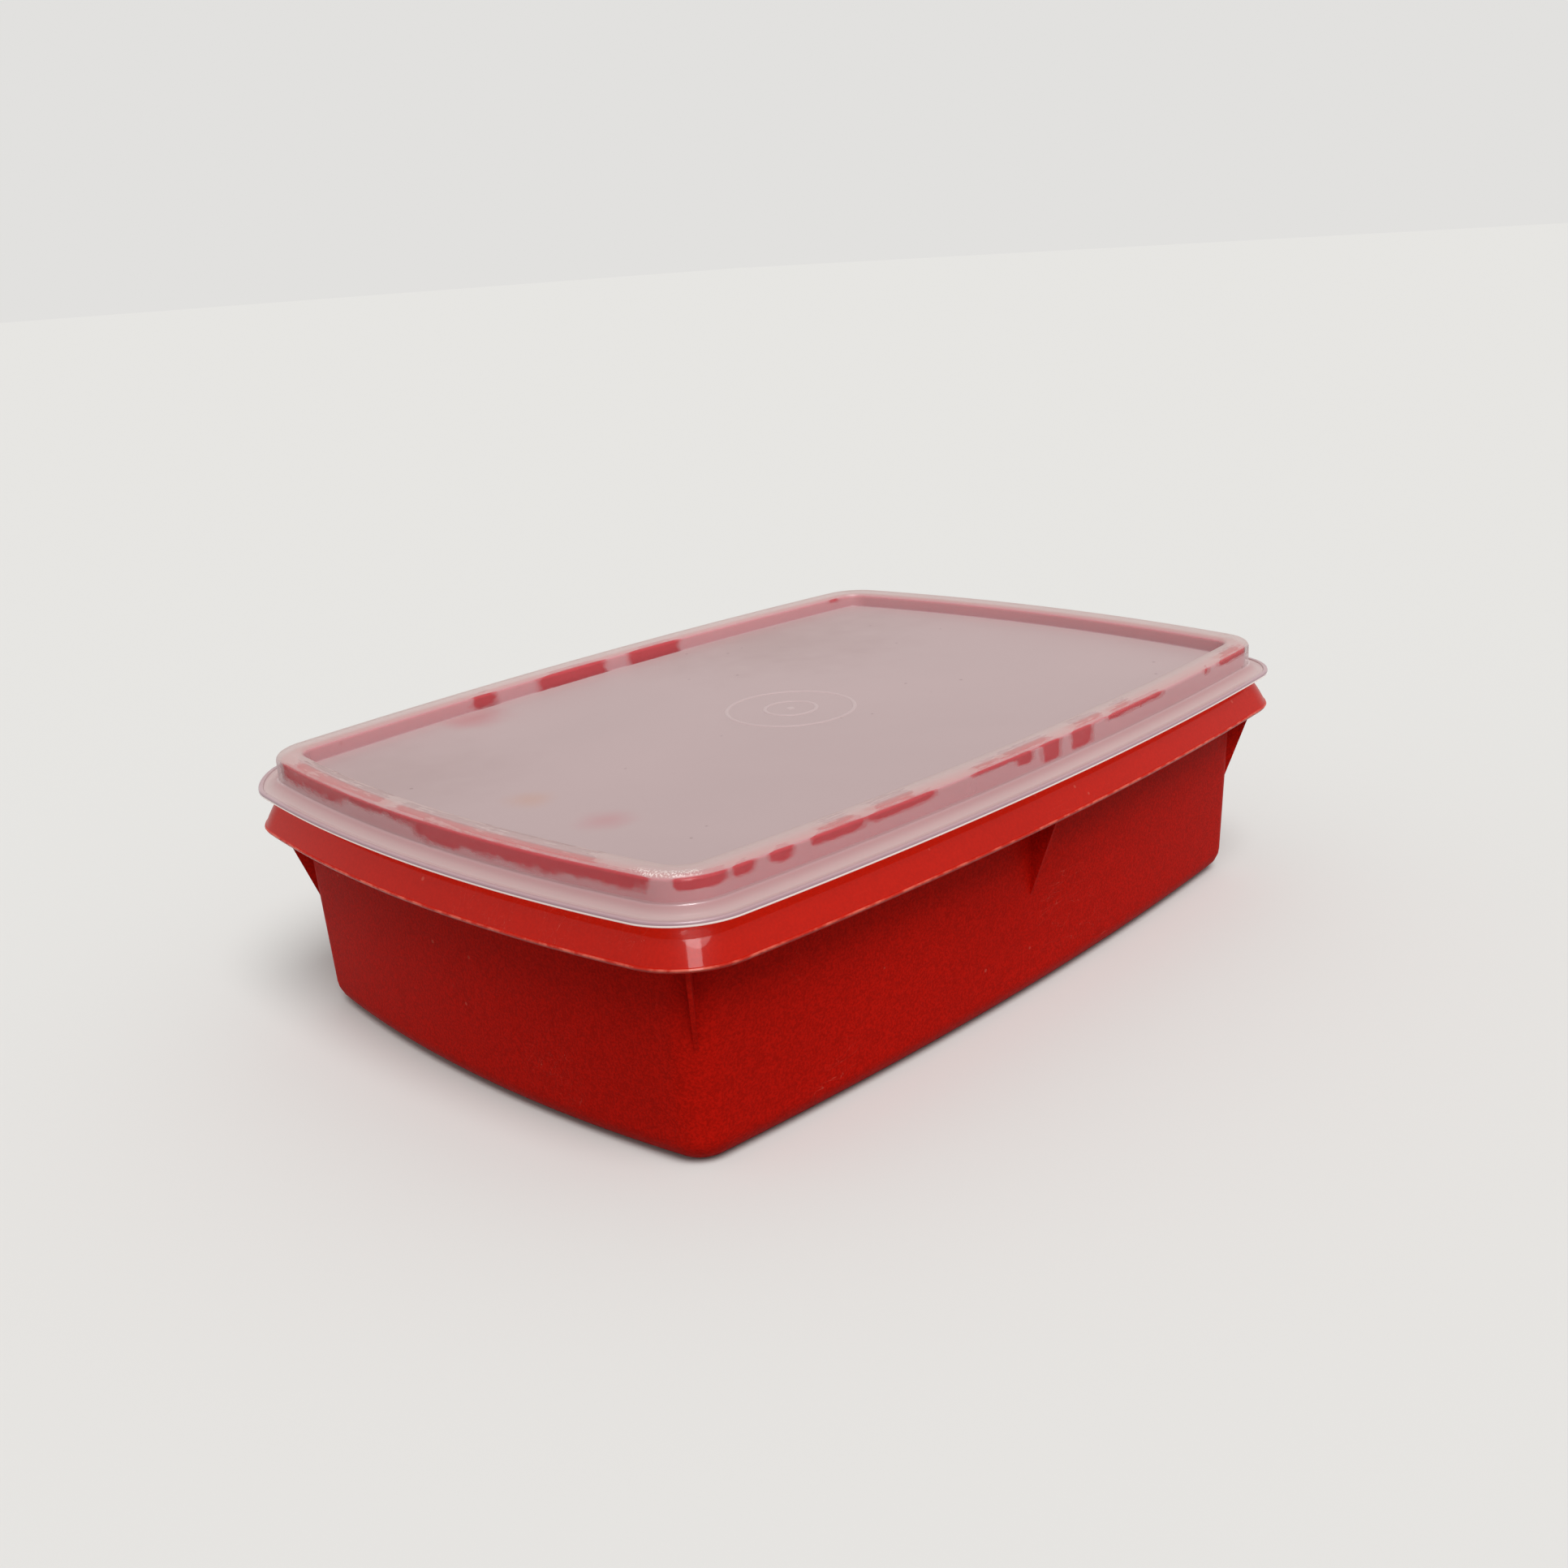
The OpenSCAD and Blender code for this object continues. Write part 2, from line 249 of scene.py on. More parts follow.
# %% [markdown]
# ### The section of the tub
# The wall rises from a rounded foot in one slope and turns over at the top into a rolled rim:
# an upturned channel, open below, which is far stiffer than a single wall. Its outer leg runs
# out into the skirt. The skirt's face follows one smooth curve that starts level and ends
# leaning out by 28 degrees from upright, and it ends in a thin edge with a fine line of
# flash, where the two halves of the mould met.

# %% Tub measures
RIM_Z = 72.6
CROWN_RISE = 0.6
ARCH_SPARE = 0.15
ARCH_RADIUS = 6.0
RIM_EDGE_Z = RIM_Z - CROWN_RISE
RIM_INSET = 6.9
RIM_WIDTH = 4.7
LEG = 1.6
WALL = 1.6
RIM_INNER_INSET = RIM_INSET + RIM_WIDTH
WALL_INSET = RIM_INNER_INSET - WALL
WALL_TOP_Z = RIM_EDGE_Z - LEG
SKIRT_ROOT_Z = RIM_Z - 10.0
SKIRT_DROP = 8.0
SKIRT_THICKNESS = 1.4
SKIRT_LEAN = math.radians(28)
SKIRT_TIP = 0.28
SHORT_SIDE_DRAFT = math.tan(math.radians(1.3))
LONG_SIDE_DRAFT = math.tan(math.radians(2.5))
FOOT_RECESS = 0.6
FLOOR_Z = FOOT_RECESS + 1.8
FOOT_INSET = WALL_INSET + 8.2
BASE_FILLET = 7.0
TIP_ANGLES = (150, 120, 90, 60, 40)
FLASH = 0.18
FLASH_SPAN = (0.25, -0.15)
FLASH_CLEAR = 0.35
SKIRT_UNDER_START = 0.08


# %% Tub section
def skirt_curve(share):
    root = np.array([RIM_INSET, SKIRT_ROOT_Z])
    bend = np.array([SKIRT_DROP * math.tan(SKIRT_LEAN), SKIRT_ROOT_Z])
    edge = np.array([SKIRT_TIP, SKIRT_ROOT_Z - SKIRT_DROP])
    early, late = root * (1 - share) + bend * share, bend * (1 - share) + edge * share
    point = early * (1 - share) + late * share
    along = (bend - root) * (1 - share) + (edge - bend) * share
    along /= np.linalg.norm(along)
    return point, along, np.array([-along[1], along[0]])


def skirt_offset(shares, depth):
    return [skirt_curve(share)[0] + skirt_curve(share)[2] * depth for share in shares]


def skirt_section():
    shares = np.linspace(SKIRT_UNDER_START, 1, 13)
    edge, along, inwards = skirt_curve(1)
    half, turn = SKIRT_THICKNESS / 2, np.radians(TIP_ANGLES)
    tip = [edge + inwards * half * (1 - math.cos(a)) + along * half * math.sin(a) for a in turn]
    line = [edge - inwards * FLASH + along * step for step in FLASH_SPAN]
    over = skirt_offset(shares[::-1], 0)
    over[0] = edge - along * FLASH_CLEAR
    points = skirt_offset(shares, SKIRT_THICKNESS) + tip + line + over
    return [(*point, 0) for point in points]


def arch(first_inset, last_inset, edge_z, edge_radius):
    return [
        (first_inset, edge_z, edge_radius),
        ((first_inset + last_inset) / 2, edge_z + CROWN_RISE + ARCH_SPARE, ARCH_RADIUS),
        (last_inset, edge_z, edge_radius),
    ]


TUB_SECTION = rounded(
    [
        (FOOT_INSET + 0.6, FOOT_RECESS, 0),
        (FOOT_INSET, 0, 0.25),
        (WALL_INSET, 0, BASE_FILLET),
        (WALL_INSET, WALL_TOP_Z, 0.5),
        (RIM_INSET + LEG, WALL_TOP_Z, 0.5),
        (RIM_INSET + LEG, SKIRT_ROOT_Z - SKIRT_THICKNESS, 0.7),
        *skirt_section(),
        (RIM_INSET, SKIRT_ROOT_Z, 0.4),
        *arch(RIM_INSET, RIM_INNER_INSET, RIM_EDGE_Z, 0.8),
        (WALL_INSET + WALL, FLOOR_Z, BASE_FILLET - WALL),
        (WALL_INSET + BASE_FILLET + 0.1, FLOOR_Z, 0),
    ]
)
print("tub section", len(TUB_SECTION), "points")

# %% [markdown]
# ### The section of the lid
# One sheet, a millimetre thick, folded over the rim. From outside in it is an edge bead, a
# flat flange, a short slope up into the ridge, the arched crown, and the inner wall, which
# leans in by 4.2 degrees and drops to the sunken panel. It keeps 0.3 mm off the rim.

# %% Lid measures
CLEARANCE = 0.3
SHEET = 1.0
RIDGE_OUT = RIM_INSET - CLEARANCE - SHEET
RIDGE_IN = RIM_INNER_INSET + CLEARANCE + SHEET
CROWN_Z = RIM_Z + CLEARANCE + SHEET
CROWN_EDGE_Z = CROWN_Z - CROWN_RISE
CROWN_ROUNDING = 1.5
PANEL_DEPTH = 5.2
PANEL_THICKNESS = 1.1
PANEL_Z = CROWN_Z - PANEL_DEPTH
LEG_DRAFT = math.tan(math.radians(4.2))
LEG_LEAN = (PANEL_DEPTH + PANEL_THICKNESS) * LEG_DRAFT
FLANGE_UNDER_Z = SKIRT_ROOT_Z + 1.5
FLANGE_Z = FLANGE_UNDER_Z + 1.0
BEAD_Z = FLANGE_UNDER_Z + 1.3
SLOPE_RISE = 1.9
SLOPE_END = RIDGE_OUT - 3.3
PANEL_EDGE = RIDGE_IN + LEG_LEAN + 1.4

# %% Lid section
LID_SECTION = rounded(
    [
        (PANEL_EDGE, PANEL_Z - PANEL_THICKNESS, 0),
        (RIDGE_IN + LEG_LEAN - SHEET, PANEL_Z - PANEL_THICKNESS, 0.6),
        *arch(RIDGE_IN - SHEET, RIDGE_OUT + SHEET, CROWN_EDGE_Z - SHEET, 0.5),
        (RIDGE_OUT + SHEET, FLANGE_UNDER_Z, 0.6),
        (0, FLANGE_UNDER_Z, 0.35),
        (0, BEAD_Z, 0.45),
        (1.25, BEAD_Z, 0.3),
        (1.35, FLANGE_Z - 0.12, 0.12),
        (1.9, FLANGE_Z, 0.3),
        (SLOPE_END, FLANGE_Z, 0.8),
        (RIDGE_OUT, FLANGE_Z + SLOPE_RISE, 0.5),
        *arch(RIDGE_OUT + 0.05, RIDGE_IN, CROWN_EDGE_Z, CROWN_ROUNDING),
        (RIDGE_IN + LEG_LEAN, PANEL_Z, 0.7),
        (PANEL_EDGE, PANEL_Z, 0),
    ]
)


def split_long(section, longest):
    points = [section[0]]
    for start, end in zip(section[:-1], section[1:]):
        parts = max(1, math.ceil(np.linalg.norm(end - start) / longest))
        points += [start + (end - start) * part / parts for part in range(1, parts + 1)]
    return np.array(points)


LID_SECTION = split_long(LID_SECTION, 0.8)
print("lid section", len(LID_SECTION), "points")

# %% [markdown]
# ## Sweeping a section round the outline
# Both mouldings are the same job, so one geometry nodes tree does it. The outline is a curve,
# the section is a second curve, and Curve to Mesh carries one round the other. The tub's
# wall is drafted: below its top it shrinks evenly towards the foot, a little more across than
# along, so that it drops off the mould. The two open ends of the swept strip are closed by
# filling the outline at the inset and height where the section starts and ends.
#
# The tree also stores how far round the outline a point lies and how far in it is. The
# finishes use both, to put marks where the rim touches the lid.


# %% A curve object from points
def curve_object(name, points, cyclic):
    data = bpy.data.curves.new(name, "CURVE")
    data.dimensions = "3D"
    data.twist_mode = "Z_UP"
    spline = data.splines.new("POLY")
    spline.points.add(len(points) - 1)
    for target, point in zip(spline.points, points):
        target.co = (*point, 1.0)
    spline.use_cyclic_u = cyclic
    return add_object(name, data)


def outline_curve(name):
    return curve_object(name, [(x, y, 0.0) for x, y in OUTLINE], True)


def section_curve(name, section, cyclic=False):
    points = [(-inset * MM, -height * MM, 0.0) for inset, height in section]
    return curve_object(name, points, cyclic)


# %% [markdown]
# Each geometry tree in this file takes a start, a few sizes and a material, and hands out a
# mesh that wears the material. Two helpers make those two ends.


# %% Ends of a geometry tree
def geometry_group(name, start, objects, sizes):
    tree = bpy.data.node_groups.new(name, "GeometryNodeTree")
    add_input(tree, start, "NodeSocketGeometry")
    for label in objects:
        add_input(tree, label, "NodeSocketObject")
    for label in sizes:
        add_input(tree, label, "NodeSocketFloat")
    add_input(tree, "Material", "NodeSocketMaterial")
    add_output(tree, "Mesh", "NodeSocketGeometry")
    return tree, tree.nodes.new("NodeGroupInput").outputs


def hand_out(tree, given, geometry):
    real = put(tree, "GeometryNodeRealizeInstances", {"Geometry": geometry}).outputs[0]
    dress = {"Geometry": real, "Material": given["Material"]}
    dressed = put(tree, "GeometryNodeSetMaterial", dress).outputs[0]
    tree.links.new(dressed, tree.nodes.new("NodeGroupOutput").inputs["Mesh"])


def stored_float(tree, name):
    node = put(tree, "GeometryNodeInputNamedAttribute", {"Name": name}, data_type="FLOAT")
    return node.outputs[0]


# %% The sweep tree
SWEEP_ENDS = ("First Inset", "First Height", "Last Inset", "Last Height")
SWEEP_DRAFTS = ("Draft Top", "Draft Inset", "Draft Along", "Draft Across")


def sweep_tree():
    sizes = SWEEP_ENDS + SWEEP_DRAFTS
    tree, given = geometry_group("carry_section_round", "Outline", ("Section",), sizes)
    section = put(tree, "GeometryNodeObjectInfo", {"Object": given["Section"]}).outputs["Geometry"]

    def store(geometry, name, value):
        return put(
            tree,
            "GeometryNodeStoreNamedAttribute",
            {"Geometry": geometry, "Name": name, "Value": value},
            data_type="FLOAT",
            domain="POINT",
        ).outputs["Geometry"]

    length = tree.nodes.new("GeometryNodeSplineParameter").outputs["Length"]
    place = tree.nodes.new("GeometryNodeInputPosition").outputs[0]
    profile_x = put(tree, "ShaderNodeSeparateXYZ", {0: place}).outputs["X"]
    inset = times(tree, profile_x, -1.0)
    path = store(given["Outline"], "along", length)
    strip = put(
        tree,
        "GeometryNodeCurveToMesh",
        {"Curve": path, "Profile Curve": store(section, "inset", inset)},
    ).outputs["Mesh"]

    def cap(inset_socket, height_socket):
        outwards = tree.nodes.new("GeometryNodeInputNormal").outputs["Normal"]
        shift = scaled(tree, outwards, times(tree, inset_socket, -1.0))
        moved = put(tree, "GeometryNodeSetPosition", {"Geometry": path, "Offset": shift})
        face = put(tree, "GeometryNodeFillCurve", {0: moved.outputs[0]}, mode="NGONS").outputs[0]
        rise = combined(tree, Z=height_socket)
        raised = put(tree, "GeometryNodeSetPosition", {"Geometry": face, "Offset": rise})
        return store(raised.outputs[0], "inset", inset_socket)

    joined = tree.nodes.new("GeometryNodeJoinGeometry")
    strip = put(tree, "GeometryNodeFlipFaces", {"Mesh": strip}).outputs[0]
    first = cap(given["First Inset"], given["First Height"])
    first = put(tree, "GeometryNodeFlipFaces", {"Mesh": first}).outputs[0]
    for piece in (strip, first, cap(given["Last Inset"], given["Last Height"])):
        tree.links.new(piece, joined.inputs[0])
    seam = {"Geometry": joined.outputs[0], "Distance": 0.02 * MM}
    sewn = put(tree, "GeometryNodeMergeByDistance", seam).outputs[0]

    point = put(tree, "ShaderNodeSeparateXYZ", {0: place}).outputs
    on_wall = maths(tree, "GREATER_THAN", stored_float(tree, "inset"), given["Draft Inset"])
    below = maths(tree, "SUBTRACT", given["Draft Top"], point["Z"])
    below = times(tree, maths(tree, "MAXIMUM", below, 0.0), on_wall)
    drafted = combined(
        tree,
        X=times(tree, point["X"], times(tree, below, given["Draft Along"])),
        Y=times(tree, point["Y"], times(tree, below, given["Draft Across"])),
    )
    tapered = put(tree, "GeometryNodeSetPosition", {"Geometry": sewn, "Offset": drafted})
    hand_out(tree, given, tapered.outputs[0])
    return tree


SWEEP = sweep_tree()
print("sweep tree", len(SWEEP.nodes), "nodes")


# %% From a tree to a plain mesh
def set_inputs(modifier, values):
    for item in modifier.node_group.interface.items_tree:
        if item.item_type == "SOCKET" and item.in_out == "INPUT" and item.name in values:
            modifier[item.identifier] = values[item.name]


def grow(name, start, tree, values, sharp_angle=38):
    modifier = start.modifiers.new("grow", "NODES")
    modifier.node_group = tree
    set_inputs(modifier, values)
    graph = bpy.context.evaluated_depsgraph_get()
    mesh = bpy.data.meshes.new_from_object(start.evaluated_get(graph), depsgraph=graph)
    mesh.name = name
    made = add_object(name, mesh)
    bpy.data.objects.remove(start)
    mesh.shade_smooth()
    mesh.set_sharp_from_angle(angle=math.radians(sharp_angle))
    size = round(volume(mesh) / MM**3)
    print(name, len(mesh.vertices), "points,", len(mesh.polygons), "faces,", size, "mm3")
    return made


def volume(mesh):
    mesh.calc_loop_triangles()
    points = np.zeros(len(mesh.vertices) * 3)
    mesh.vertices.foreach_get("co", points)
    corners = np.zeros(len(mesh.loop_triangles) * 3, int)
    mesh.loop_triangles.foreach_get("vertices", corners)
    a, b, c = points.reshape(-1, 3)[corners.reshape(-1, 3)].transpose(1, 0, 2)
    return float((a * np.cross(b, c)).sum() / 6)


# %% [markdown]
# ## Finishes
# Both plastics share three things: a fine moulded grain, a slow drift of colour where the
# plastic has aged unevenly, and the marks of handling. Each is a node group with its own
# sizes, so that the tub and the lid can wear it differently.


# %% Shared effects
def shader_group(name, inputs, outputs):
    tree = bpy.data.node_groups.new(name, "ShaderNodeTree")
    for label, kind, value in inputs:
        add_input(tree, label, kind, value)
    for label, kind in outputs:
        add_output(tree, label, kind)
    given = tree.nodes.new("NodeGroupInput").outputs
    result = tree.nodes.new("NodeGroupOutput").inputs
    return tree, given, result


def noise(tree, vector, scale, detail=2.0, roughness=0.5, distortion=0.0):
    values = {"Vector": vector, "Scale": scale, "Detail": detail, "Roughness": roughness}
    values["Distortion"] = distortion
    return put(tree, "ShaderNodeTexNoise", values).outputs[0]


def ramp(tree, value, low, high, to_low=0.0, to_high=1.0, kind="SMOOTHSTEP"):
    values = {"Value": value, "From Min": low, "From Max": high}
    values.update({"To Min": to_low, "To Max": to_high})
    settings = {"interpolation_type": kind, "clamp": True}
    return put(tree, "ShaderNodeMapRange", values, **settings).outputs[0]


def moulded_grain():
    tree, given, result = shader_group(
        "moulded_grain",
        [("Place", "NodeSocketVector", None), ("Grains per Metre", "NodeSocketFloat", 900.0)],
        [("Height", "NodeSocketFloat")],
    )
    fine = noise(tree, given["Place"], given["Grains per Metre"], 3.0, 0.6)
    broad = noise(tree, given["Place"], times(tree, given["Grains per Metre"], 0.31), 2.0)
    tree.links.new(maths(tree, "MULTIPLY_ADD", broad, 0.25, fine), result["Height"])
    return tree


def colour_drift():
    tree, given, result = shader_group(
        "colour_drift",
        [
            ("Place", "NodeSocketVector", None),
            ("Clouds per Metre", "NodeSocketFloat", 14.0),
            ("Low", "NodeSocketFloat", 0.9),
            ("High", "NodeSocketFloat", 1.08),
        ],
        [("Factor", "NodeSocketFloat")],
    )
    cloud = noise(tree, given["Place"], given["Clouds per Metre"], 4.0, 0.55, 0.4)
    factor = ramp(tree, cloud, 0.3, 0.7, given["Low"], given["High"], "LINEAR")
    tree.links.new(factor, result["Factor"])
    return tree


def handling_marks():
    tree, given, result = shader_group(
        "handling_marks",
        [
            ("Place", "NodeSocketVector", None),
            ("Scratches per Metre", "NodeSocketFloat", 60.0),
            ("Amount", "NodeSocketFloat", 0.5),
        ],
        [("Scratches", "NodeSocketFloat"), ("Nicks", "NodeSocketFloat")],
    )
    stretch = {"Rotation": (0.5, 0.3, 0.9), "Scale": (1.0, 9.0, 5.0)}
    stretched = put(tree, "ShaderNodeMapping", {"Vector": given["Place"], **stretch}).outputs[0]
    threads = noise(tree, stretched, given["Scratches per Metre"], 1.0, 0.4, 0.6)
    off_line = maths(tree, "ABSOLUTE", maths(tree, "SUBTRACT", threads, 0.5))
    line = ramp(tree, off_line, 0.0, 0.006, 1.0, 0.0)
    where = ramp(tree, noise(tree, given["Place"], 34.0, 2.0), 0.58, 0.66)
    tree.links.new(times(tree, line, where, given["Amount"]), result["Scratches"])
    spread = {"Vector": given["Place"], "Scale": 260.0, "Randomness": 1.0}
    cells = put(tree, "ShaderNodeTexVoronoi", spread).outputs
    dot = ramp(tree, cells["Distance"], 0.10, 0.16, 1.0, 0.0)
    chosen = put(tree, "ShaderNodeSeparateXYZ", {0: cells["Color"]}).outputs["X"]
    rare = ramp(tree, chosen, 0.955, 0.96)
    tree.links.new(times(tree, dot, rare, given["Amount"]), result["Nicks"])
    return tree


GRAIN = moulded_grain()
DRIFT = colour_drift()
MARKS = handling_marks()
print("effects", [group.name for group in (GRAIN, DRIFT, MARKS)])


# %% A material with its shader
def new_material(name, specular, roughness=0.5):
    material = bpy.data.materials.new(name)
    material.use_nodes = True
    tree = material.node_tree
    shader = next(node for node in tree.nodes if node.type == "BSDF_PRINCIPLED")
    shader.inputs["Roughness"].default_value = roughness
    shader.inputs["Specular IOR Level"].default_value = specular
    return material, tree, shader


def grouped(tree, group, **inputs):
    values = {key.replace("_", " "): value for key, value in inputs.items()}
    return put(tree, "ShaderNodeGroup", values, node_tree=group).outputs


def attribute(tree, name):
    settings = {"attribute_name": name, "attribute_type": "GEOMETRY"}
    return put(tree, "ShaderNodeAttribute", **settings).outputs["Fac"]


def object_place(tree):
    return tree.nodes.new("ShaderNodeTexCoord").outputs["Object"]


def blend_colour(tree, factor, first, second):
    values = {0: factor, 6: first, 7: second}
    return put(tree, "ShaderNodeMix", values, data_type="RGBA").outputs[2]


def band(tree, measure, low, high, to_low=0.0, to_high=1.0):
    return ramp(tree, measure, low * MM, high * MM, to_low, to_high)


def press_grain(tree, shader, relief, depth, strength):
    values = {"Height": relief, "Distance": depth * MM, "Strength": strength}
    tree.links.new(put(tree, "ShaderNodeBump", values).outputs[0], shader.inputs["Normal"])


# %% [markdown]
# ### Red polyethylene
# The walls come off a sparked mould and are dull and finely grained. The skirt and the rim
# come off a polished part of it, so they are smoother. The change between the two is at the
# height of the skirt's edge. A thin coat on the smooth part alone carries the reflection of
# the window, which stays sharp over a body that stays dull.

# %% Tub finish
WALL_RED = (0.47, 0.0065, 0.0025, 1.0)
SKIRT_RED = (0.455, 0.008, 0.0015, 1.0)
RIM_RED_PAINTED_LIGHTER = (0.48, 0.025, 0.034, 1.0)
TUB_WORN = (0.55, 0.10, 0.07, 1.0)
FLASH_AND_HIGHLIGHT_PINK = (0.66, 0.12, 0.08, 1.0)
GRAIN_SHADES = (0.46, 0.80, 0.82, 1.20)
SKIRT_GRAIN_SHADE = 0.3
SKIRT_GRAIN_DEPTH = 0.18
SKIRT_COAT = 0.26
WALL_ROUGHNESS = 0.55
SKIRT_ROUGHNESS = 0.36


def tub_finish():
    material, tree, shader = new_material("red_polyethylene", 0.03)
    shader.inputs["Coat Roughness"].default_value = 0.07
    place = object_place(tree)
    height = put(tree, "ShaderNodeSeparateXYZ", {0: place}).outputs["Z"]
    skirt_foot = SKIRT_ROOT_Z - SKIRT_DROP - 1.0
    smooth = band(tree, height, skirt_foot, skirt_foot + 0.5)
    covered = band(tree, height, SKIRT_ROOT_Z + 0.3, SKIRT_ROOT_Z + 1.5)
    grain = grouped(tree, GRAIN, Place=place, Grains_per_Metre=1500.0)["Height"]
    clouds = {"Clouds_per_Metre": 11.0, "Low": 0.93, "High": 1.06}
    drift = grouped(tree, DRIFT, Place=place, **clouds)["Factor"]
    marks = grouped(tree, MARKS, Place=place, Scratches_per_Metre=70.0, Amount=0.5)

    red = blend_colour(tree, smooth, WALL_RED, SKIRT_RED)
    # Under the lid the rim is painted a lighter, pinker red than the skirt. This is painted light,
    # standing in for the light that the milky lid scatters onto it.
    red = blend_colour(tree, covered, red, RIM_RED_PAINTED_LIGHTER)
    fleck = maths(tree, "SUBTRACT", ramp(tree, grain, *GRAIN_SHADES), 1.0)
    shown = between(tree, smooth, 1.0, SKIRT_GRAIN_SHADE)
    fleck = maths(tree, "MULTIPLY_ADD", fleck, shown, 1.0)
    base = scaled(tree, red, times(tree, drift, fleck))
    worn = maths(tree, "MAXIMUM", marks["Scratches"], marks["Nicks"])
    base = blend_colour(tree, worn, base, TUB_WORN)
    # A broken, lighter pink line along the skirt's thin edge. It is partly the mould's flash and
    # partly a painted highlight, where the rounded edge catches the light.
    on_edge = band(tree, attribute(tree, "inset"), 0.16, 0.30, 1.0, 0.0)
    broken_line = ramp(tree, noise(tree, place, 300.0, 3.0), 0.4, 0.65, 0.1, 0.9)
    base = blend_colour(tree, times(tree, on_edge, broken_line, smooth), base, FLASH_AND_HIGHLIGHT_PINK)
    tree.links.new(base, shader.inputs["Base Color"])

    tree.links.new(times(tree, smooth, SKIRT_COAT), shader.inputs["Coat Weight"])
    roughness = between(tree, smooth, WALL_ROUGHNESS, SKIRT_ROUGHNESS)
    roughness = maths(tree, "MULTIPLY_ADD", worn, 0.2, roughness)
    tree.links.new(roughness, shader.inputs["Roughness"])
    relief = times(tree, grain, between(tree, smooth, 1.0, SKIRT_GRAIN_DEPTH))
    press_grain(tree, shader, relief, 0.12, 0.55)
    return material


TUB_FINISH = tub_finish()

# %% [markdown]
# ### Milky polyethylene
# A millimetre of natural polyethylene lets about half of the light through and scatters it.
# It is made with Alpha here, and not with a glassy transmission, because the sheet is thin
# and never clear. What lies right behind it shows: the ridge looks pink over the red rim, and
# deep red wherever the two touch, since nothing scatters the light between them. The ridge's
# own colour is painted lighter and pinker as well, as a painted red glow of the rim in the sheet.
#
# A sheet that is seen on the slant is longer to cross, so Layer Weight raises its cover. And
# scattered light is not lost the way a shadow loses it, so Light Path thins the sheet for the
# light on its way to the rim. The panel has only the dark inside of the tub below it, and
# lets less through.

# %% Lid colours
PANEL_MILK = (0.495, 0.370, 0.370, 1.0)
RIDGE_MILK_PAINTED_GLOW = (0.66, 0.46, 0.48, 1.0)
CROWN_MILK = (0.52, 0.375, 0.355, 1.0)
FLANGE_MILK = (0.51, 0.375, 0.365, 1.0)
FLANGE_ROOT_PAINTED_SHADE = (0.43, 0.235, 0.240, 1.0)
EDGE_PAINTED_SHADE = (0.42, 0.27, 0.31, 1.0)
EDGE_PAINTED_HIGHLIGHT = (0.95, 0.86, 0.83, 1.0)
EDGE_PAINTED_GLOW = (0.17, 0.14, 0.13, 1.0)
DIRT = (0.10, 0.04, 0.03, 1.0)
SCUFF_AND_GLINT_WHITE = (0.95, 0.90, 0.86, 1.0)
SMUDGE_PINK = (0.50, 0.22, 0.23, 1.0)
SMUDGE_PEACH = (0.52, 0.32, 0.26, 1.0)
PANEL_PAINTED_SHADE = (0.38, 0.26, 0.25, 1.0)
LID_CLOUDS = {"Clouds_per_Metre": 9.0, "Low": 0.97, "High": 1.03}
SCUFFED_AND_GLINTING_CORNER = (488, 514)
# The pink and peach spots are smudges on the panel. The two broad patches in the last rows are
# painted shade, darker where the light on the panel falls off.
SMUDGES_AND_SHADE = [
    (-57, 74, 13, 0.75, SMUDGE_PINK),
    (-44, 86, 8, 0.75, SMUDGE_PINK),
    (-95, -29, 9, 0.5, SMUDGE_PINK),
    (-96, -1, 8, 0.6, SMUDGE_PEACH),
    (-105, 45, 40, 0.38, PANEL_PAINTED_SHADE),
    (60, 66, 60, 0.50, PANEL_PAINTED_SHADE),
]

# %% [markdown]
# Each part of the sheet covers what lies behind it by a share of its own: the ridge least,
# the flange and the panel most. A touch takes most of that cover away on the walls of the
# ridge, and less on its crown. The crease at the foot of the ridge has a little coat, which
# draws the thin line of light there.

# %% Shares of the lid
PANEL_FROM = RIDGE_IN + LEG_LEAN
CREASE_Z = FLANGE_Z + SLOPE_RISE
RIDGE_COVER, PANEL_COVER = 0.34, 0.80
FLANGE_EXTRA, CROWN_EXTRA = 0.50, 0.30
SLANT_REACH = 0.85
WALL_TOUCH_THINS, CROWN_TOUCH_THINS = 0.85, 0.37
LIT_COVER = 0.15
CREASE_COAT = 0.8
SHEET_ROUGHNESS, PANEL_ROUGHER = 0.30, 0.16


